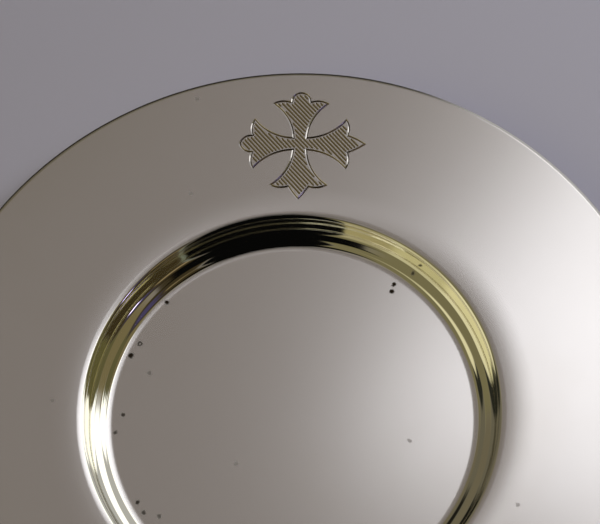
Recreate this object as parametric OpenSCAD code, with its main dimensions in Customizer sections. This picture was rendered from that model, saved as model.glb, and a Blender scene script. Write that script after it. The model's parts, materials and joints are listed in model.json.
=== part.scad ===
// Communion paten: one sheet of silver spun to a round plate. A wide flat rim
// carries a small engraved cross, and a round well sinks from it in two steps.
// Millimetres. Z is up, the origin is the middle of the face that the plate
// rests on, and the cross lies on the rim towards +Y.

/* [Plate] */
// Overall diameter of the plate
plate_d = 150; // [125:1:200]
// Thickness of the sheet
sheet_t = 0.8; // [0.7:0.1:1.3]
// Radius of the turned-down outer edge, on top
edge_r = 2; // [1.5:0.5:6]
// Angle by which the outer edge turns down
edge_turn = 24; // [5:1:60]

/* [Well] */
// Diameter of the well at the foot of its wall
well_d = 80.2; // [66:0.2:90]
// Depth of the well's floor below the rim
well_depth = 6.7; // [5.5:0.1:14]
// Slope of the well's wall
wall_slope = 86; // [70:1:88]
// Radius of the shoulder between the wall and the rim, on the underside
shoulder_inner_r = 0.15; // [0.1:0.05:2]
// Radius of the roll from the rim's dish into the shoulder
roll_r = 6; // [3:0.5:12]
// Slope at which the roll passes into the shoulder
roll_slope = 14; // [8:1:20]
// Radius of the dish in which the rim falls gently towards the roll
dish_r = 80; // [40:5:100]
// Slope at which the dish passes into the roll
dish_slope = 4; // [2:0.5:5]
// Radius of the crease at the foot of the wall
crease_r = 0.3; // [0.2:0.1:0.8]

/* [Ledge and floor] */
// Radius of the hollow bend between the crease and the ledge
cove_r = 2; // [1:0.1:6]
// Slope of the cove where it meets the crease
cove_slope = 45; // [30:1:55]
// Width of the even stretch of the ledge
ledge_w = 0.75; // [0.3:0.05:3]
// Slope of the even stretch of the ledge
ledge_slope = 18; // [3:1:22]
// Radius of the lower step's upper bend
step_top_r = 3.6; // [1.5:0.1:5]
// Steepest slope of the lower step
step_slope = 32; // [25:1:45]
// Radius of the lower step's inner bend
step_foot_r = 2.6; // [0.8:0.1:4]
// Radius of the sweep from the floor up to the lower step
sweep_r = 5; // [3:0.5:20]
// Slope at which the sweep meets the lower step
sweep_slope = 13; // [6:1:18]

/* [Engraved cross] */
// Plain rim left at each end of the cross
cross_margin = 4.3; // [3:0.1:8]
// Width of the cut that outlines the cross
line_w = 0.4; // [0.2:0.05:0.5]
// Depth of the outline cut
line_depth = 0.16; // [0.08:0.02:0.3]
// Distance from one hatch line to the next
hatch_pitch = 0.68; // [0.5:0.02:1.2]
// Width of a hatch line
hatch_w = 0.3; // [0.15:0.05:0.4]
// Depth of a hatch line
hatch_depth = 0.1; // [0.06:0.02:0.2]
// Direction of the hatch lines, from +X
hatch_angle = -48.6; // [-80:0.2:80]

/* [Hidden] */
$fn = 180;

bend_step = 6;      // largest turn between two points of a bend, in degrees
most_stretches = 9; // in one curve of the cross
over_cut = 1;       // how far a cutter stands proud of the rim

plate_r = plate_d / 2;
well_r = well_d / 2;
shoulder_r = shoulder_inner_r + sheet_t;

// Width and rise of a bend of radius r between two slopes
function bend_width(r, from, to) = r * abs(sin(to) - sin(from));
function bend_rise(r, from, to) = r * abs(cos(from) - cos(to));

// The bends between the floor and the wall, from the middle outwards, each
// [radius, slope at its start, slope at its end]
sweep = [sweep_r, 0, sweep_slope];
step_foot = [step_foot_r, sweep_slope, step_slope];
step_top = [step_top_r, step_slope, ledge_slope];
cove = [cove_r, ledge_slope, cove_slope];
crease = [crease_r, cove_slope, wall_slope];
low_bends = [sweep, step_foot, step_top, cove, crease];

function total(values, k = 0) =
    k == len(values) ? 0 : values[k] + total(values, k + 1);
low_w = total([for (b = low_bends) bend_width(b[0], b[1], b[2])]) + ledge_w;
low_rise = total([for (b = low_bends) bend_rise(b[0], b[1], b[2])])
         + ledge_w * tan(ledge_slope);

// What the bends and the ledge leave of the depth is the wall's
top_rise = bend_rise(shoulder_r, wall_slope, roll_slope)
         + bend_rise(roll_r, roll_slope, dish_slope)
         + bend_rise(dish_r, dish_slope, 0);
wall_rise = well_depth - low_rise - top_rise;

// Where the flat of the floor ends, and where the flat of the rim starts and ends
floor_end = well_r - low_w;
flat_start = well_r + wall_rise / tan(wall_slope)
           + bend_width(shoulder_r, wall_slope, roll_slope)
           + bend_width(roll_r, roll_slope, dish_slope)
           + bend_width(dish_r, dish_slope, 0);
flat_end = plate_r - bend_width(edge_r, 0, edge_turn)
         - sheet_t / 2 * (1 - sin(edge_turn));
rim_z = sheet_t + well_depth;

// The upper side as runs from the middle outwards. A straight run is
// [0, length], and a bend is [radius, slope at its end].
upper_runs = [
    [0, floor_end],
    [sweep_r, sweep_slope],
    [step_foot_r, step_slope],
    [step_top_r, ledge_slope],
    [0, ledge_w / cos(ledge_slope)],
    [cove_r, cove_slope],
    [crease_r, wall_slope],
    [0, wall_rise / sin(wall_slope)],
    [shoulder_r, roll_slope],
    [roll_r, dish_slope],
    [dish_r, 0],
    [0, flat_end - flat_start],
    [edge_r, -edge_turn]
];

// Points of one run, each [x, z, slope], after the point it starts from
function run_points(run, at) =
    run[0] == 0
    ? [[at[0] + run[1] * cos(at[2]), at[1] + run[1] * sin(at[2]), at[2]]]
    : let (turn = run[1] - at[2],
           n = ceil(abs(turn) / bend_step),
           side = sign(turn) * run[0])
      [for (i = [1:n])
          let (slope = at[2] + turn * i / n)
          [at[0] + side * (sin(slope) - sin(at[2])),
           at[1] - side * (cos(slope) - cos(at[2])),
           slope]];

function walk(runs, at, k = 0) =
    k == len(runs)
    ? []
    : let (points = run_points(runs[k], at))
      concat(points, walk(runs, points[len(points) - 1], k + 1));

upper = concat([[0, sheet_t, 0]], walk(upper_runs, [0, sheet_t, 0]));
lip = upper[len(upper) - 1];

// A point of the section, moved square to the sheet by a distance
function below(p, distance) =
    [p[0] + distance * sin(p[2]), p[1] - distance * cos(p[2])];

lip_middle = below(lip, sheet_t / 2);
lip_round = [for (a = [15:15:165])
    lip_middle + sheet_t / 2 * [cos(90 + lip[2] - a), sin(90 + lip[2] - a)]];

sheet_section = concat(
    [for (p = upper) [p[0], p[1]]],
    lip_round,
    [for (i = [len(upper) - 1:-1:0]) below(upper[i], sheet_t)]
);

// The cross, in its own frame: one half of the arm that points to +Y, from the
// crotch between two arms to the tip. Places are shares of an arm's length.
arm = (plate_r - well_r) / 2 - cross_margin;
cross_y = (plate_r + well_r) / 2;
crotch = arm * [0.122, 0.122];
horn = arm * [0.465, 0.735];
notch = arm * [0.165, 0.778];
side_sag = -0.08 * arm;
end_sag = 0.038 * arm;
// Of the upper, left, lower and right arm: its own length, and how far the sides
// of the lobe at its tip bulge
tips = [0.95, 0.98, 1, 1.06];
lobe_sags = [0.05, 0.045, 0.01, 0.012];

// Points of a round curve from p to q, without q, that bulges by sag to the
// left of the way from p to q
function curve(p, q, sag) =
    let (half = norm(q - p) / 2,
         n = max(2, min(most_stretches, floor(half / line_w))),
         along = (q - p) / (2 * half),
         left = [-along[1], along[0]],
         r = (half * half + sag * sag) / (2 * sag),
         centre = (p + q) / 2 + left * (sag - r),
         spread = asin(half / r))
    [for (i = [0:n - 1])
        let (a = spread * (2 * i / n - 1))
        centre + r * (along * sin(a) + left * cos(a))];

function half_arm(k) = concat(
    curve(crotch, horn, -side_sag),
    curve(horn, notch, -end_sag),
    curve(notch, arm * [0, tips[k]], -lobe_sags[k] * arm)
);
function arm_outline(half, k) = concat(
    half,
    [arm * [0, tips[k]]],
    [for (i = [len(half) - 1:-1:1]) [-half[i][0], half[i][1]]]
);
function turned(p, a) = [p[0] * cos(a) - p[1] * sin(a), p[0] * sin(a) + p[1] * cos(a)];
cross_outline = [for (k = [0:3]) for (p = arm_outline(half_arm(k), k)) turned(p, 90 * k)];

// The outline moved inwards by a distance, corner by corner
function inset(points, distance) =
    [for (i = [0:len(points) - 1])
        let (n = len(points),
             before = points[i] - points[(i + n - 1) % n],
             after = points[(i + 1) % n] - points[i],
             u = before / norm(before),
             v = after / norm(after),
             square = [-u[1] - v[1], u[0] + v[0]])
        points[i] + square * distance / (1 + u * v)];

cross_field = inset(cross_outline, line_w);

// The hatch covers the cross from corner to corner
hatch_reach = arm * 1.08;
hatch_count = floor(hatch_reach / hatch_pitch);

module outline_cut() {
    translate([0, 0, -line_depth])
        linear_extrude(line_depth + over_cut)
            difference() {
                polygon(cross_outline);
                polygon(cross_field);
            }
}

module hatch_cut() {
    translate([0, 0, -hatch_depth])
        linear_extrude(hatch_depth + over_cut)
            intersection() {
                polygon(cross_field);
                rotate(hatch_angle)
                    for (k = [-hatch_count:hatch_count])
                        translate([0, k * hatch_pitch])
                            square([2.2 * arm, hatch_w], center = true);
            }
}

module sheet() {
    rotate_extrude()
        polygon(sheet_section);
}

module paten() {
    color("silver")
        difference() {
            sheet();
            translate([0, cross_y, rim_z]) {
                outline_cut();
                hatch_cut();
            }
        }
}

paten();
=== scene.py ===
"""Communion paten: a spun and part-polished silver plate with a cross engraved on its rim.

The plate is one surface of revolution with the engraving cut into it. Lengths are worked
out in millimetres and become metres when a mesh is made. Z is up, the plate rests at
z = 0, and the cross lies towards +Y.
"""

import json

import bpy
import numpy as np
from mathutils import Matrix, Vector
from mathutils.geometry import delaunay_2d_cdt


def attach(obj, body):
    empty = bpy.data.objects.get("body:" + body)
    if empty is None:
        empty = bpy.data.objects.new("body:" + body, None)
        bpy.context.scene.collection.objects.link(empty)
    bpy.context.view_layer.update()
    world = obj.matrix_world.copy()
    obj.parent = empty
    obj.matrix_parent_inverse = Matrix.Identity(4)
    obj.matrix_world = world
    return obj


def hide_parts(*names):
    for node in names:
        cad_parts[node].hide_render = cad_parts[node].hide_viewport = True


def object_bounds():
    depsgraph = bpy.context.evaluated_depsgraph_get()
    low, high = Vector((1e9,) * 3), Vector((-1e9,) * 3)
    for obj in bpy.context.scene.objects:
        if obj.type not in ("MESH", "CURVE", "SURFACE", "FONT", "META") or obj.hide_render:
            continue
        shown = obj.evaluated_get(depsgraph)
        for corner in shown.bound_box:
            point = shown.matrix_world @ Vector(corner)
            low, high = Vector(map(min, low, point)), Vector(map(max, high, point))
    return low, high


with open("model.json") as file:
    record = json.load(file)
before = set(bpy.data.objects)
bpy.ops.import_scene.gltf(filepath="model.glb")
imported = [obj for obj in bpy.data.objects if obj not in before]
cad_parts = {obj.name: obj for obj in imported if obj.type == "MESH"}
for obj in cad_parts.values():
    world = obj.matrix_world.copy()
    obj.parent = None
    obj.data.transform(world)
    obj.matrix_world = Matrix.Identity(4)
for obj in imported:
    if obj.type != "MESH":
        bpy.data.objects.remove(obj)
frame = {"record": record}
cad_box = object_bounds()

MM = 0.001

# ---------------------------------------------------------------- sizes, in millimetres

MOUNTS = {mount["name"]: mount for mount in frame["record"]["mounts"]}
PLATE_R = cad_box[1].x / MM
RIM_Z = cad_box[1].z / MM
SHEET = RIM_Z - MOUNTS["rim_seat"]["pos_m"][2] / MM

# The section: the well's radius at the foot of its wall, each bend's radius, and the
# slopes, in degrees, at which one bend passes into the next
WELL_R = 40.1
SHOULDER_R = SHEET + 0.15
ROLL_R = 6
ROLL_SLOPE = 14
DISH_R = 80
DISH_SLOPE = 4
WALL_SLOPE = 86
CREASE_R = 0.3
COVE_R = 2
COVE_SLOPE = 45
LEDGE = 0.75
LEDGE_SLOPE = 18
STEP_TOP_R = 3.6
STEP_SLOPE = 32
STEP_FOOT_R = 2.6
SWEEP_R = 5
SWEEP_SLOPE = 13
EDGE_R = 2
EDGE_TURN = 24
LIP_STEPS = 10

# Outside this radius the upper side is rim
RIM_FROM = WELL_R + 1

# The engraving. A hatch line's bottom lies off its middle by the skew, and its pointed ends
# are a share of its width. It stays a little further in than the outline cut.
CROSS_MARGIN = 4.3
LINE_W = 0.44
LINE_DEPTH = 0.13
HATCH_PITCH = 0.68
HATCH_W = 0.48
HATCH_DEPTH = 0.10
HATCH_SKEW = -0.11
HATCH_ANGLE = -48.6
HATCH_TAPER = 0.5
HATCH_STEP = 0.02
HATCH_CLEAR = 1.03
MOST_STRETCHES = 12
STRETCHES_TO_A_WIDTH = 1.5

# Steps round the plate, how many of them the engraved patch takes on either side of +Y, and
# the plain rim that it keeps round the cross
COLUMNS = 384
PATCH_COLUMNS = 16
PATCH_MARGIN = 0.4

# The filler of triangles keeps only those inside its border, and joins nearer points
INSIDE_ONLY = 1
JOIN_WITHIN = 1e-5
# Points in the same cell of this many to the millimetre are one point
CELLS_TO_A_MM = 2000


# ---------------------------------------------------------------- section of the plate

def bend_width(r, start, end):
    """Width of a bend: its radius times the change of the slope's sine."""
    return r * abs(np.sin(np.radians(end)) - np.sin(np.radians(start)))


def bend_rise(r, start, end):
    """Rise of a bend: its radius times the change of the slope's cosine."""
    return r * abs(np.cos(np.radians(end)) - np.cos(np.radians(start)))


def section_runs():
    """The upper side as runs from the middle outwards, each (radius, slope at its end, step
    in degrees), or (0, length, pieces) where it is straight. What the bends and the ledge
    leave of the well's depth is the wall's."""
    depth = RIM_Z - SHEET
    slopes = (0, SWEEP_SLOPE, STEP_SLOPE, LEDGE_SLOPE, COVE_SLOPE, WALL_SLOPE)
    radii = (SWEEP_R, STEP_FOOT_R, STEP_TOP_R, COVE_R, CREASE_R)
    low = list(zip(radii, slopes[:-1], slopes[1:]))
    low_w = sum(bend_width(*bend) for bend in low) + LEDGE
    low_rise = sum(bend_rise(*bend) for bend in low) + LEDGE * np.tan(np.radians(LEDGE_SLOPE))
    top = [(SHOULDER_R, WALL_SLOPE, ROLL_SLOPE), (ROLL_R, ROLL_SLOPE, DISH_SLOPE),
           (DISH_R, DISH_SLOPE, 0)]
    wall_rise = depth - low_rise - sum(bend_rise(*bend) for bend in top)
    flat_start = (WELL_R + wall_rise / np.tan(np.radians(WALL_SLOPE))
                  + sum(bend_width(*bend) for bend in top))
    flat_end = (PLATE_R - bend_width(EDGE_R, 0, EDGE_TURN)
                - SHEET / 2 * (1 - np.sin(np.radians(EDGE_TURN))))
    return [
        (0, WELL_R - low_w, 5),
        (SWEEP_R, SWEEP_SLOPE, 2),
        (STEP_FOOT_R, STEP_SLOPE, 4),
        (STEP_TOP_R, LEDGE_SLOPE, 4),
        (0, LEDGE / np.cos(np.radians(LEDGE_SLOPE)), 1),
        (COVE_R, COVE_SLOPE, 3),
        (CREASE_R, WALL_SLOPE, 6),
        (0, wall_rise / np.sin(np.radians(WALL_SLOPE)), 2),
        (SHOULDER_R, ROLL_SLOPE, 4),
        (ROLL_R, DISH_SLOPE, 2),
        (DISH_R, 0, 1),
        (0, flat_end - flat_start, 3),
        (EDGE_R, -EDGE_TURN, 4),
    ]


def section(runs, coarser=1):
    """Points (x, z, slope) of the upper side. Along a bend, x and z grow by the radius times
    the change of the slope's sine and of its cosine, and along a straight run by its
    length times the slope's cosine and sine."""
    points = [np.array([[0.0, SHEET, 0.0]])]
    for radius, end, step in runs:
        x, z, slope = points[-1][-1]
        if radius == 0:
            share = np.linspace(0, 1, step + 1)[1:]
            x = x + end * share * np.cos(np.radians(slope))
            z = z + end * share * np.sin(np.radians(slope))
            slopes = np.full_like(share, slope)
        else:
            count = int(np.ceil(abs(end - slope) / (step * coarser)))
            slopes = np.linspace(slope, end, count + 1)[1:]
            side = np.sign(end - slope) * radius
            x = x + side * (np.sin(np.radians(slopes)) - np.sin(np.radians(slope)))
            z = z - side * (np.cos(np.radians(slopes)) - np.cos(np.radians(slope)))
        points.append(np.column_stack([x, z, slopes]))
    return np.concatenate(points)


RUNS = section_runs()
UPPER = section(RUNS)
FLAT_END = UPPER[UPPER[:, 1] > RIM_Z - 1e-6][-1, 0]


def closed_section():
    """The whole section from the middle of the top, round the lip, to the middle of the
    underside, as rows (x, z, normal x, normal z). The underside is the upper side moved
    square to the sheet by its thickness, and the lip is a half circle."""
    below = section(RUNS, coarser=2)[::-1]
    s = np.radians(UPPER[:, 2])
    top = np.column_stack([UPPER[:, 0], UPPER[:, 1], -np.sin(s), np.cos(s)])
    s = np.radians(below[:, 2])
    under = np.column_stack([below[:, 0] + SHEET * np.sin(s), below[:, 1] - SHEET * np.cos(s),
                             np.sin(s), -np.cos(s)])
    turn = np.radians(90 - EDGE_TURN - np.linspace(0, 180, LIP_STEPS + 1)[1:-1])
    middle = (top[-1, :2] + under[0, :2]) / 2
    lip_normal = np.column_stack([np.cos(turn), np.sin(turn)])
    lip = np.column_stack([middle + SHEET / 2 * lip_normal, lip_normal])
    return np.concatenate([top, lip, under])


# ---------------------------------------------------------------- the engraved cross

ARM = (PLATE_R - WELL_R) / 2 - CROSS_MARGIN
CROSS_Y = (PLATE_R + WELL_R) / 2
CROTCH = ARM * np.array([0.122, 0.122])
HORN = ARM * np.array([0.465, 0.735])
NOTCH = ARM * np.array([0.165, 0.778])
SIDE_SAG = -0.08 * ARM
END_SAG = 0.038 * ARM
# Each arm's own length, and how far its lobe's sides bulge: top, left, bottom and right
TIPS = (0.95, 0.98, 1.0, 1.06)
LOBE_SAGS = (0.05, 0.045, 0.006, 0.012)


def turned(points, angle):
    """Points turned about the origin by an angle in degrees."""
    c, s = np.cos(np.radians(angle)), np.sin(np.radians(angle))
    return points @ np.array([[c, s], [-s, c]])


def curve(p, q, sag):
    """Points of a round curve from p to q, without q, that bulges by sag to the left: its
    centre lies on the line square to the middle of p q, and it sweeps equal angles."""
    half = np.linalg.norm(q - p) / 2
    count = max(2, min(MOST_STRETCHES, int(half / LINE_W * STRETCHES_TO_A_WIDTH)))
    along = (q - p) / (2 * half)
    left = np.array([-along[1], along[0]])
    r = (half ** 2 + sag ** 2) / (2 * sag)
    centre = (p + q) / 2 + left * (sag - r)
    a = np.arcsin(half / r) * (2 * np.arange(count) / count - 1)
    return centre + r * (np.sin(a)[:, None] * along + np.cos(a)[:, None] * left)


def cross_outline():
    """The cross, anticlockwise: four arms, each half an arm and its mirror image, turned a
    quarter turn further than the last one."""
    arms = []
    for quarter, (length, sag) in enumerate(zip(TIPS, LOBE_SAGS)):
        tip = ARM * np.array([0, length])
        half_arm = np.concatenate([
            curve(CROTCH, HORN, -SIDE_SAG),
            curve(HORN, NOTCH, -END_SAG),
            curve(NOTCH, tip, -sag * ARM),
        ])
        arm = np.concatenate([half_arm, [tip], half_arm[:0:-1] * [-1, 1]])
        arms.append(turned(arm, 90 * quarter))
    return np.concatenate(arms)


def inset(points, distance):
    """A closed outline moved inwards by a distance: each corner goes along the sum of its
    two sides' inward normals, over one plus the cosine between them."""
    before = points - np.roll(points, 1, axis=0)
    after = np.roll(points, -1, axis=0) - points
    u = before / np.linalg.norm(before, axis=1)[:, None]
    v = after / np.linalg.norm(after, axis=1)[:, None]
    square = np.column_stack([-u[:, 1] - v[:, 1], u[:, 0] + v[:, 0]])
    return points + square * distance / (1 + (u * v).sum(axis=1))[:, None]


def inside(points, outline):
    """Whether each point lies inside a closed outline, by the number of sides to its right."""
    x, y = points[:, 0][:, None], points[:, 1][:, None]
    p, q = outline, np.roll(outline, -1, axis=0)
    crosses = (p[:, 1] > y) != (q[:, 1] > y)
    rise = np.where(p[:, 1] == q[:, 1], 1, q[:, 1] - p[:, 1])
    at = p[:, 0] + (y - p[:, 1]) * (q[:, 0] - p[:, 0]) / rise
    return (crosses & (at > x)).sum(axis=1) % 2 == 1


def hatch_lines(field):
    """Stretches (row, start, end) of the parallel hatch lines that keep inside the field
    over nearly their whole width, in a frame turned to the lines' direction."""
    rows = int(1.05 * ARM / HATCH_PITCH)
    along = np.arange(-1.1 * ARM, 1.1 * ARM, HATCH_STEP)
    shortest = 1.5 * HATCH_W
    stretches = []
    for k in range(-rows, rows + 1):
        row = k * HATCH_PITCH
        keeps = np.ones(len(along), bool)
        for side in (-HATCH_W * 0.4, 0, HATCH_W * 0.4):
            line = np.column_stack([along, np.full_like(along, row + side)])
            keeps &= inside(turned(line, HATCH_ANGLE), field)
        steps = np.flatnonzero(np.diff(np.concatenate([[0], keeps.astype(int), [0]])))
        for start, end in steps.reshape(-1, 2):
            if along[end - 1] - along[start] > shortest:
                stretches.append((row, along[start], along[end - 1]))
    return stretches


def hatch_cut(row, start, end):
    """One hatch cut as points, depths and edges: a long hexagon on the surface, pointed at
    both ends, and the line at its bottom, which lies off the middle."""
    w = HATCH_W / 2
    taper = HATCH_TAPER * HATCH_W
    x = np.array([start, start + taper, end - taper, end, end - taper, start + taper,
                  start + taper, end - taper])
    y = row + np.array([0, -w, -w, 0, w, w, HATCH_SKEW, HATCH_SKEW])
    depth = np.array([0, 0, 0, 0, 0, 0, HATCH_DEPTH, HATCH_DEPTH])
    edges = [(0, 1), (1, 2), (2, 3), (3, 4), (4, 5), (5, 0), (6, 7),
             (1, 6), (5, 6), (0, 6), (2, 7), (4, 7), (3, 7)]
    return turned(np.column_stack([x, y]), HATCH_ANGLE), depth, np.array(edges)


def engraving():
    """Points, depths and edges of all the cuts, about the cross's own middle. The outline
    cut has an outer edge, a bottom and an inner edge that follow each other."""
    outline = cross_outline()
    n = len(outline)
    rails = [outline, inset(outline, LINE_W / 2), inset(outline, LINE_W)]
    ring = np.column_stack([np.arange(n), (np.arange(n) + 1) % n])
    points = list(rails)
    depths = [np.zeros(n), np.full(n, LINE_DEPTH), np.zeros(n)]
    edges = [ring, ring + n, ring + 2 * n]
    edges += [np.column_stack([np.arange(n) + a * n, np.arange(n) + (a + 1) * n]) for a in (0, 1)]
    count = 3 * n
    field = inset(outline, LINE_W * HATCH_CLEAR)
    for stretch in hatch_lines(field):
        cut_points, cut_depths, cut_edges = hatch_cut(*stretch)
        points.append(cut_points)
        depths.append(cut_depths)
        edges.append(cut_edges + count)
        count += len(cut_points)
    return np.concatenate(points), np.concatenate(depths), np.concatenate(edges), outline


# ---------------------------------------------------------------- the plate's mesh

def flat_place(r, angle):
    """Points seen from above at a radius and an angle from +Y."""
    return np.column_stack(np.broadcast_arrays(r * np.sin(angle), r * np.cos(angle)))


def patch_angles():
    """The grid's columns across the engraved patch, as angles from +Y."""
    return np.arange(-PATCH_COLUMNS, PATCH_COLUMNS + 1) * 2 * np.pi / COLUMNS


def top_ring(body, radius):
    """The number of the upper ring nearest to a radius on the rim."""
    outer = np.flatnonzero((body[:, 0] > RIM_FROM) & (body[:, 3] > 0.5))
    return outer[np.abs(body[outer, 0] - radius).argmin()]


def top_height(r):
    """Height and slope of the upper side at a radius, between the section's points."""
    outer = UPPER[:, 0] > RIM_FROM
    return (np.interp(r, UPPER[outer, 0], UPPER[outer, 1]),
            np.interp(r, UPPER[outer, 0], UPPER[outer, 2]))


def engraved_patch(rings, first, last):
    """The part of the rim round the cross, filled with triangles between the cuts' edges and
    the grid's own points on the patch's border. Each point stands at the rim's height there,
    less the cut's depth. Returns points, normals, triangles and the depths."""
    angle = patch_angles()
    radii = rings[first:last + 1, 0]
    border = np.concatenate([
        flat_place(radii[0], angle),
        flat_place(radii[1:-1], angle[-1]),
        flat_place(radii[-1], angle[::-1]),
        flat_place(radii[-2:0:-1], angle[0]),
    ])
    cuts, depths, cut_edges, outline = engraving()
    cuts = np.round(cuts + [0, CROSS_Y], 3)
    outline = inset(outline, -PATCH_MARGIN) + [0, CROSS_Y]
    grid_r, grid_a = np.meshgrid(radii[1:-1], angle[1:-1], indexing="ij")
    loose = flat_place(grid_r.ravel(), grid_a.ravel())
    loose = loose[~inside(loose, outline)]
    n = len(border)
    rim = np.column_stack([np.arange(n), (np.arange(n) + 1) % n])
    points = np.concatenate([border, cuts, loose])
    edges = np.concatenate([rim, cut_edges + n])
    filled = delaunay_2d_cdt(points.tolist(), edges.tolist(), [], INSIDE_ONLY, JOIN_WITHIN)
    flat = np.array(filled[0])
    triangles = np.array(filled[2])
    thousandths = np.round(np.concatenate([cuts, flat]) * 1000).astype(np.int64)
    _, same = np.unique(thousandths, axis=0, return_inverse=True)
    depth_at = np.zeros(same.max() + 1)
    depth_at[same.ravel()[:len(cuts)]] = depths
    deep = depth_at[same.ravel()[len(cuts):]]
    r = np.hypot(flat[:, 0], flat[:, 1])
    height, slope = top_height(r)
    s = np.radians(slope)
    place = np.column_stack([flat, height - deep])
    normals = np.column_stack([-np.sin(s) * flat[:, 0] / r, -np.sin(s) * flat[:, 1] / r, np.cos(s)])
    return place, normals, triangles, deep


def revolve():
    """The plate: each point of the section goes round in equal steps, x by sine and y by
    cosine of the step's angle. The two ends of the section are single points."""
    rings = closed_section()
    body = rings[1:-1]
    a = np.arange(COLUMNS) * 2 * np.pi / COLUMNS
    around = np.stack([np.sin(a), np.cos(a), np.ones(COLUMNS)], axis=1)
    x_z = body[:, [0, 0, 1]]
    n_z = body[:, [2, 2, 3]]
    points = (x_z[:, None, :] * around[None]).reshape(-1, 3)
    normals = (n_z[:, None, :] * around[None]).reshape(-1, 3)
    k, i = np.meshgrid(np.arange(len(body) - 1), np.arange(COLUMNS), indexing="ij")
    j = (i + 1) % COLUMNS
    quads = np.stack([k * COLUMNS + i, k * COLUMNS + j,
                      (k + 1) * COLUMNS + j, (k + 1) * COLUMNS + i], axis=-1)
    outer = top_ring(body, FLAT_END)
    inner = top_ring(body, CROSS_Y - ARM - PATCH_MARGIN)
    cut = np.zeros(quads.shape[:2], bool)
    cut[inner:outer, :PATCH_COLUMNS] = True
    cut[inner:outer, -PATCH_COLUMNS:] = True
    quads = quads[~cut]
    top, bottom = len(points), len(points) + 1
    points = np.concatenate([points, [[0, 0, rings[0, 1]], [0, 0, rings[-1, 1]]]])
    normals = np.concatenate([normals, [[0, 0, 1], [0, 0, -1]]])
    ring = np.arange(COLUMNS)
    after = (ring + 1) % COLUMNS
    last = (len(body) - 1) * COLUMNS
    caps = np.concatenate([
        np.column_stack([np.full(COLUMNS, top), after, ring]),
        np.column_stack([np.full(COLUMNS, bottom), last + ring, last + after]),
    ])
    return points, normals, quads, caps, body, inner, outer


def plate():
    """The whole plate as one closed mesh: the revolved sheet with the engraved patch sewn
    in along shared points. Cut walls keep their own flat normals, and all other faces take
    the section's exact ones."""
    points, normals, quads, caps, body, inner, outer = revolve()
    patch, patch_normals, triangles, deep = engraved_patch(body, inner, outer)
    all_points = np.concatenate([points, patch])
    key = np.round(all_points * CELLS_TO_A_MM).astype(np.int64)
    _, first, same = np.unique(key, axis=0, return_index=True, return_inverse=True)
    merged = first[same.ravel()]
    triangles = merged[triangles + len(points)]
    a, b, c = (all_points[triangles[:, n]] for n in range(3))
    wall_normal = np.cross(b - a, c - a)
    flip = wall_normal[:, 2] < 0
    triangles[flip] = triangles[flip][:, ::-1]
    wall_normal[flip] *= -1
    wall_normal /= np.linalg.norm(wall_normal, axis=1)[:, None]
    all_deep = np.concatenate([np.zeros(len(points)), deep])
    is_wall = all_deep[triangles].max(axis=1) > 0
    all_normals = np.concatenate([normals, patch_normals])
    corner_normals = all_normals[triangles]
    corner_normals[is_wall] = wall_normal[is_wall][:, None, :]
    faces = [quads, caps, triangles]
    corners = np.concatenate([f.ravel() for f in faces])
    sizes = np.concatenate([np.full(len(f), f.shape[1]) for f in faces])
    loop_normals = np.concatenate([all_normals[quads].reshape(-1, 3),
                                   all_normals[caps].reshape(-1, 3),
                                   corner_normals.reshape(-1, 3)])
    used = np.unique(corners)
    slot = np.zeros(len(all_points), np.int64)
    slot[used] = np.arange(len(used))
    return all_points[used], slot[corners], sizes, loop_normals, all_deep[used]


def make_mesh(name, points, corners, sizes, loop_normals):
    """A mesh object from whole arrays of points, face corners, face sizes and normals."""
    mesh = bpy.data.meshes.new(name)
    mesh.vertices.add(len(points))
    mesh.vertices.foreach_set("co", (points * MM).astype(np.float32).ravel())
    mesh.loops.add(len(corners))
    mesh.loops.foreach_set("vertex_index", corners.astype(np.int32))
    mesh.polygons.add(len(sizes))
    starts = np.concatenate([[0], np.cumsum(sizes)[:-1]])
    mesh.polygons.foreach_set("loop_start", starts.astype(np.int32))
    mesh.update(calc_edges=True)
    mesh.validate()
    mesh.polygons.foreach_set("use_smooth", np.ones(len(sizes), bool))
    mesh.normals_split_custom_set(loop_normals.tolist())
    piece = bpy.data.objects.new(name, mesh)
    bpy.context.scene.collection.objects.link(piece)
    return piece


# ---------------------------------------------------------------- shader expressions

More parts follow.
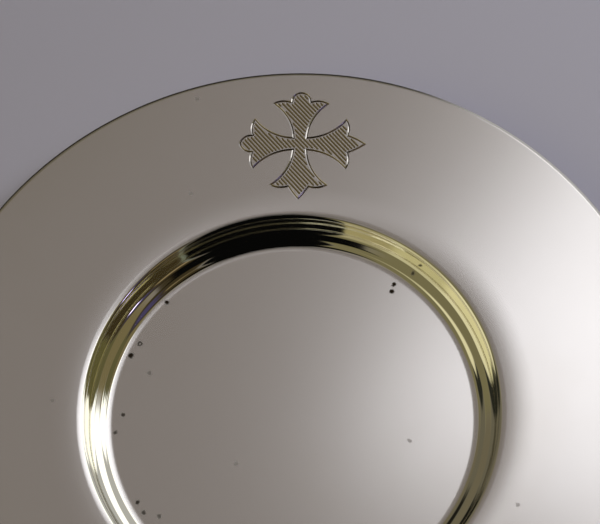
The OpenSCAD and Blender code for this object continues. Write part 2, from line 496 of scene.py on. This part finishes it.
class Shade:
    """A socket in a node tree. An expression on shades adds the Math nodes that work it out,
    and make() adds a node of any other type."""

    def __init__(self, tree, socket=None):
        self.tree = tree
        self.socket = socket

    def make(self, kind, settings=None, sockets=None, out=0):
        """Adds a node: its settings are set first, and then the value or the link of each
        socket. Returns the socket out, by number or by name, if the node has any."""
        node = self.tree.nodes.new(kind)
        for name, value in (settings or {}).items():
            setattr(node, name, value)
        for name, value in (sockets or {}).items():
            if isinstance(value, Shade):
                self.tree.links.new(value.socket, node.inputs[name])
            else:
                node.inputs[name].default_value = value
        return Shade(self.tree, node.outputs[out] if len(node.outputs) else None)

    def other(self, name):
        """Another output of the same node."""
        return Shade(self.tree, self.socket.node.outputs[name])

    def parts(self):
        """This vector's X, Y and Z."""
        split = self.make("ShaderNodeSeparateXYZ", sockets={0: self})
        return [split.other(name) for name in "XYZ"]

    def math(self, operation, *values):
        """Adds a Math node that works on these numbers."""
        return self.make("ShaderNodeMath", {"operation": operation}, dict(enumerate(values)))

    def vector(self, operation, *values, out=0):
        """Adds a Vector Math node that works on these vectors."""
        return self.make("ShaderNodeVectorMath", {"operation": operation},
                         dict(enumerate(values)), out)

    def __add__(self, other):
        return self.math("ADD", self, other)

    def __radd__(self, other):
        return self.math("ADD", other, self)

    def __sub__(self, other):
        return self.math("SUBTRACT", self, other)

    def __rsub__(self, other):
        return self.math("SUBTRACT", other, self)

    def __mul__(self, other):
        return self.math("MULTIPLY", self, other)

    def __rmul__(self, other):
        return self.math("MULTIPLY", other, self)

    def __pow__(self, other):
        return self.math("POWER", self, other)

    def __rpow__(self, other):
        return self.math("POWER", other, self)

    def __abs__(self):
        return self.math("ABSOLUTE", self)

    def ramp(self, low, high):
        """0 at low and 1 at high, smooth between them. Low may be the larger one."""
        return self.make("ShaderNodeMapRange", {"interpolation_type": "SMOOTHSTEP"},
                         {"Value": self, "From Min": low, "From Max": high})


def mix_colours(tree, first, second, share):
    """The first colour at share 0, and the second at share 1. The numbers are those of the
    Mix node's colour sockets."""
    return tree.make("ShaderNodeMix", {"data_type": "RGBA"}, {0: share, 6: first, 7: second},
                     out=2)


def new_material(name):
    """An empty node material and the shade that its nodes are made from."""
    material = bpy.data.materials.new(name)
    material.use_nodes = True
    material.node_tree.nodes.clear()
    return material, Shade(material.node_tree)


def noise(place, scale, detail):
    """Even noise from 0 to 1, with that many features to the metre."""
    return place.make("ShaderNodeTexNoise", {"noise_dimensions": "3D"},
                      {"Vector": place, "Scale": float(scale), "Detail": float(detail)},
                      out="Fac")


def noise_on(value, scale):
    """Noise that varies along one value only, such as rings along a radius."""
    return value.make("ShaderNodeTexNoise", {"noise_dimensions": "1D"},
                      {"W": value, "Scale": float(scale), "Detail": 3.0}, out="Fac")


# ---------------------------------------------------------------- materials

SATIN = (0.86, 0.83, 0.80, 1)
BRIGHT = (0.95, 0.93, 0.80, 1)
CLOUDED = (0.76, 0.71, 0.64, 1)
CUT_SIDE = (0.52, 0.44, 0.30, 1)
CUT_BOTTOM = (0.16, 0.125, 0.075, 1)
# Painted shade for the cut walls that face -X, away from the window light
CUT_PAINTED_SHADE_FACING_LEFT = (0.12, 0.09, 0.05, 1)
TARNISH = (0.055, 0.042, 0.030, 1)

SATIN_ROUGH = 0.19
BRIGHT_ROUGH = 0.055
CUT_ROUGH = 0.30
TARNISH_ROUGH = 0.62

# The bright band's edges, as radii in millimetres
BAND_INNER = 36.84
BAND_OUTER = 41.05

# How far a tarnish spot's outline wanders, in millimetres
RAGGED = 0.35

# Tarnish spots, most of them in a loose row just inside the bright band: (degrees clockwise
# from +Y, distance inside the band's inner edge, radius, strength), in millimetres. One with
# a distance below 0 is on the band or the rim. A negative strength hollows out the spot
# before it.
SPOTS = [
    (-48, 1, 0.5, 1),
    (-65, 2, 0.5, 1),
    (-65, 2, 0.25, -0.7),
    (-70, 1.5, 0.55, 1),
    (-74, 6.5, 0.45, 0.5),
    (-91, 3, 0.4, 0.9),
    (-97, 1.5, 0.4, 0.8),
    (-122, 2, 0.4, 0.9),
    (-126, 2, 0.4, 0.8),
    (-130, 4, 0.4, 0.7),
    (-134, 22, 0.45, 0.35),
    (35, 2, 0.45, 1),
    (36, 3.5, 0.45, 1),
    (102, 13, 0.4, 0.3),
    (38, -2, 0.4, 0.8),
    (-26, -14, 0.4, 0.3),
    (-18, -35, 0.45, 0.3),
    (-90, -10, 0.4, 0.3),
    (114, -11, 0.4, 0.3),
]


def spot_mask(place):
    """Where the tarnish spots are: x and y are the distance from the middle times the sine
    and the cosine of the angle. Each spot is its strength within six tenths of its radius,
    and fades to nothing at one and a half times it. They are added up."""
    masks = []
    for angle, inside_band, radius, strength in SPOTS:
        x = (BAND_INNER - inside_band) * np.sin(np.radians(angle))
        y = (BAND_INNER - inside_band) * np.cos(np.radians(angle))
        away = place.vector("DISTANCE", place, (x * MM, y * MM, 0), out="Value")
        masks.append(away.ramp(1.45 * radius * MM, 0.6 * radius * MM) * strength)
    return sum(masks)


def ragged(place):
    """A place seen from above, moved each way by fine noise, so that edges wander."""
    on_plan = place.vector("MULTIPLY", place, (1, 1, 0))
    drift = place.make("ShaderNodeTexNoise", {"noise_dimensions": "3D"},
                       {"Vector": on_plan, "Scale": 1800.0, "Detail": 2.0}, out="Color")
    drift = place.make("ShaderNodeVectorMath", {"operation": "SCALE"},
                       {0: drift, "Scale": 2 * RAGGED * MM})
    moved = place.vector("ADD", on_plan, drift)
    return place.vector("SUBTRACT", moved, (RAGGED * MM,) * 3)


def polished_band(radius, upper):
    """1 on the bright band, and 0 on the satin on either side of it and on the underside."""
    inner = radius.ramp(BAND_INNER - 0.12, BAND_INNER + 0.05)
    outer = radius.ramp(BAND_OUTER + 0.35, BAND_OUTER - 0.15)
    return inner * outer * upper


def silver():
    """Silver plate: satin on the rim and the floor, mirror bright on the band between them,
    dark tarnish in the engraving and in small spots. The cut walls that face +X, towards
    the window light, get a painted highlight: most of their tarnish is left off. Those that
    face -X get painted shade, a colour darker than the tarnish."""
    material, tree = new_material("satin_and_bright_silver")
    place = tree.make("ShaderNodeTexCoord", out="Object")
    x, y, _ = place.parts()
    radius = (x * x + y * y) ** 0.5 * (1 / MM)
    facing_x, _, facing_z = tree.make("ShaderNodeNewGeometry", out="Normal").parts()
    upper = facing_z.ramp(-0.05, 0.05)
    # Which way a surface faces along X: it sets the painted highlight and the painted shade in the
    # cuts, and the cuts' roughness
    to_right = facing_x.ramp(0.05, 0.3)
    to_left = facing_x.ramp(-0.3, -0.48)

    wander = noise(place, 240, 3)
    fine = noise(place, 2600, 3)
    grain = noise(place, 9000, 2)
    cloud = noise(place, 34, 4)
    spin = noise_on(radius, 7.0)

    band = polished_band(radius + (wander - 0.5) * 0.25, upper)
    spots = spot_mask(ragged(place)) * upper
    cut = tree.make("ShaderNodeAttribute", {"attribute_name": "cut"}, out="Fac")

    uneven = (cloud - 0.5) * 0.03
    satin_rough = SATIN_ROUGH + uneven + (fine - 0.5) * 0.03 + (spin - 0.5) * 0.03
    bright_rough = BRIGHT_ROUGH + uneven
    rough = satin_rough + (bright_rough - satin_rough) * band
    rough = rough + (TARNISH_ROUGH - rough) * spots
    rough = rough + (CUT_ROUGH - to_right * 0.14 - rough) * cut.ramp(0.0, 0.4)

    engraved = cut.ramp(0.0, 0.2)
    # Painted highlight: cut walls that face +X, towards the window light, keep most of the metal's
    # own colour, and all other cut walls take the tarnish
    tarnish_outside_painted_highlight = 1 - to_right * 0.88
    colour = mix_colours(tree, SATIN, BRIGHT, band)
    colour = mix_colours(tree, colour, CLOUDED, cloud.ramp(0.5, 0.8) * 0.2)
    colour = mix_colours(tree, colour, CUT_SIDE, engraved * tarnish_outside_painted_highlight)
    colour = mix_colours(tree, colour, CUT_BOTTOM, cut.ramp(0.2, 0.9) * tarnish_outside_painted_highlight)
    # Painted shade: cut walls that face -X, away from the window light, are painted darker than
    # their tarnish
    colour = mix_colours(tree, colour, CUT_PAINTED_SHADE_FACING_LEFT, engraved * to_left)
    colour = mix_colours(tree, colour, TARNISH, spots)

    bump = (grain - 0.5) * (1 - band) * 0.12 + (fine - 0.5) * 0.05 - spots * 0.6
    normal = tree.make("ShaderNodeBump", sockets={
        "Strength": 0.25, "Distance": 0.00002, "Height": bump})
    metal = tree.make("ShaderNodeBsdfPrincipled", sockets={
        "Base Color": colour, "Metallic": 1.0, "Roughness": rough, "Normal": normal})
    tree.make("ShaderNodeOutputMaterial", sockets={"Surface": metal})
    return material


def table_top():
    """Plain pale lilac-grey paint."""
    material, tree = new_material("pale_table")
    paint = tree.make("ShaderNodeBsdfPrincipled", sockets={
        "Base Color": (0.62, 0.59, 0.68, 1), "Roughness": 0.75, "Specular IOR Level": 0.2})
    tree.make("ShaderNodeOutputMaterial", sockets={"Surface": paint})
    return material


# ---------------------------------------------------------------- the studio

# The room's own frame is the plate's, turned by this about Z, in degrees
ROOM_TURN = 10.45
ROOM_COLOUR = (0.125, 0.112, 0.08, 1)
BACKDROP = (0.30, 0.295, 0.33, 1)
LEAN_FROM = 60

# Soft panels round the plate: (name, middle azimuth at elevation 60, how far that moves for
# each degree of elevation, half width, lowest and highest elevation, softness, colour), in
# degrees in the room's own frame. Later panels cover earlier ones.
PANELS = [
    ("ceiling", 0, 0, 181, 46, 95, 3, (0.225, 0.203, 0.188)),
    ("dim upper left wall", 187, 0, 51, 46, 74, 3, (0.17, 0.15, 0.08)),
    ("dim far wall", 118, 0, 20, 40, 58, 3, (0.14, 0.12, 0.08)),
    ("left wall", 179, 0, 19, -10, 47, 4, (0.70, 0.65, 0.42)),
    ("middle of the left wall", 207, 0, 14, -10, 47, 4, (0.50, 0.46, 0.28)),
    ("near left wall", 229, 0, 11, -10, 47, 4, (0.34, 0.30, 0.17)),
    ("dark cupboard", 155, 0, 5, -10, 47, 1.5, (0.02, 0.02, 0.015)),
    ("grey wall", 47, 0, 20, -10, 46, 2, (0.44, 0.435, 0.44)),
    ("far side in shade", 97, 0, 31, -10, 32, 3, (0.012, 0.011, 0.008)),
    ("lower bright wall", 46.5, 0, 19.5, 46, 63, 2, (1.3, 1.3, 1.33)),
    ("upper bright wall", 32.5, 1.5, 31.5, 61, 73.5, 2, (1.28, 1.28, 1.33)),
    ("window", 18, 0, 9.5, -10, 55, 1.5, (1.3, 1.3, 1.3)),
    ("olive corner", 357, 0, 11, -10, 43, 2, (0.10, 0.09, 0.04)),
    ("olive corner, higher", 0, 0, 14, 43, 55, 2, (0.10, 0.09, 0.04)),
    ("tan corner", 5, 0, 19.5, 54, 71, 2, (0.16, 0.13, 0.065)),
    ("dark doorway", 325, 0, 21, -10, 80, 2, (0.04, 0.03, 0.015)),
    ("lamp's glow", 334, 0, 7, 42, 58, 4, (0.06, 0.05, 0.12)),
    ("tan frame", 312.5, 0, 8.5, 38, 50, 1.5, (0.25, 0.19, 0.10)),
    ("lamp", 333, 0, 3, 36, 43, 1, (2.2, 1.9, 3.2)),
    ("pale edge", 303, 0, 1, -10, 50, 0.5, (0.15, 0.17, 0.15)),
    ("black cloth", 270, 0, 32, -10, 95, 1, (0.002, 0.002, 0.002)),
    ("wide top of the cloth", 270, 0, 68, 68, 95, 2, (0.002, 0.002, 0.002)),
    ("black cloth overhead", 0, 0, 181, 85, 95, 1, (0.002, 0.002, 0.002)),
]


def room_light():
    """Light from all round by direction: the panels over a dim room, and a plain
    backdrop where the camera looks past the table. The azimuth is the angle of x and y, and
    the elevation is the arc sine of z."""
    world = bpy.data.worlds.new("studio_room")
    world.use_nodes = True
    world.node_tree.nodes.clear()
    tree = Shade(world.node_tree)
    direction = tree.make("ShaderNodeTexCoord", out="Generated")
    x, y, z = direction.parts()
    degrees = 180 / np.pi
    azimuth = tree.math("ARCTAN2", y, x) * degrees - ROOM_TURN
    elevation = tree.math("ARCSINE", z) * degrees
    light = ROOM_COLOUR
    for _, middle, lean, half, low, high, soft, colour in PANELS:
        centre = (elevation - LEAN_FROM) * lean + middle
        away = abs(tree.math("WRAP", azimuth - centre, 180, -180))
        across = away.ramp(half + soft, half - soft)
        up = elevation.ramp(low - soft, low + soft) * elevation.ramp(high + soft, high - soft)
        light = mix_colours(tree, light, (*colour, 1), across * up)
    seen = tree.make("ShaderNodeLightPath", out="Is Camera Ray")
    light = mix_colours(tree, light, BACKDROP, seen)
    glow = tree.make("ShaderNodeBackground", sockets={"Color": light, "Strength": 1.0})
    tree.make("ShaderNodeOutputWorld", sockets={"Surface": glow})
    bpy.context.scene.world = world


# The table lamp's place and side in millimetres, and its power in watts
LAMP_AT = (300, 180, 320)
LAMP_SIDE = 200
LAMP_POWER = 0.6


def table_lamp():
    """A large soft lamp to the right that lights the table, and that the silver doesn't
    mirror."""
    data = bpy.data.lights.new("table_lamp", "AREA")
    data.size = LAMP_SIDE * MM
    data.energy = LAMP_POWER
    data.color = (0.86, 0.92, 1.0)
    lamp = bpy.data.objects.new("table_lamp", data)
    lamp.location = Vector(LAMP_AT) * MM
    lamp.rotation_euler = Vector(LAMP_AT).to_track_quat("Z", "Y").to_euler()
    lamp.visible_glossy = False
    bpy.context.scene.collection.objects.link(lamp)


# The table is just below the plate, so that the two faces don't coincide
TABLE_R = 1500
TABLE_Z = -0.05
TABLE_SIDES = 96


def table():
    """A large flat disc under the plate, as one face: its corners go round in equal steps, x
    by the sine and y by the cosine of the step's angle."""
    a = np.arange(TABLE_SIDES) * 2 * np.pi / TABLE_SIDES
    rim = np.column_stack([TABLE_R * np.sin(a), TABLE_R * np.cos(a),
                           np.full(TABLE_SIDES, TABLE_Z)])
    mesh = bpy.data.meshes.new("table")
    mesh.from_pydata((rim * MM).tolist(), [], [list(range(TABLE_SIDES - 1, -1, -1))])
    disc = bpy.data.objects.new("table", mesh)
    bpy.context.scene.collection.objects.link(disc)
    mesh.materials.append(table_top())


# The camera's place and what it looks at, in millimetres, its roll in degrees, and its lens
# and sensor width in millimetres
CAMERA_AT = (18.9, -102.6, 303.0)
CAMERA_AIM = (0.91, 30.48, 7.2)
CAMERA_ROLL = -6.43
CAMERA_LENS = 96
CAMERA_SENSOR = 36


def camera():
    """Looks down on the plate from in front, tilted a little clockwise."""
    place = Vector(CAMERA_AT) * MM
    aim = Vector(CAMERA_AIM) * MM
    forward = (aim - place).normalized()
    level = forward.cross(Vector((0, 0, 1))).normalized()
    upright = level.cross(forward)
    roll = np.radians(CAMERA_ROLL)
    right = level * np.cos(roll) + upright * np.sin(roll)
    up = right.cross(forward)
    data = bpy.data.cameras.new("camera")
    data.lens = CAMERA_LENS
    data.sensor_width = CAMERA_SENSOR
    data.clip_start = 0.01
    eye = bpy.data.objects.new("camera", data)
    eye.matrix_world = Matrix((right, up, -forward)).transposed().to_4x4()
    eye.location = place
    bpy.context.scene.collection.objects.link(eye)
    bpy.context.scene.camera = eye


camera()
room_light()
table_lamp()
table()
points, corners, sizes, loop_normals, deep = plate()
paten_plate = make_mesh("paten_plate", points, corners, sizes, loop_normals)
cut_depth = paten_plate.data.attributes.new("cut", "FLOAT", "POINT")
cut_depth.data.foreach_set("value", (deep / LINE_DEPTH).astype(np.float32))
paten_plate.data.materials.append(silver())
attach(paten_plate, "root")
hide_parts("paten")
bpy.context.scene.view_settings.view_transform = "Standard"
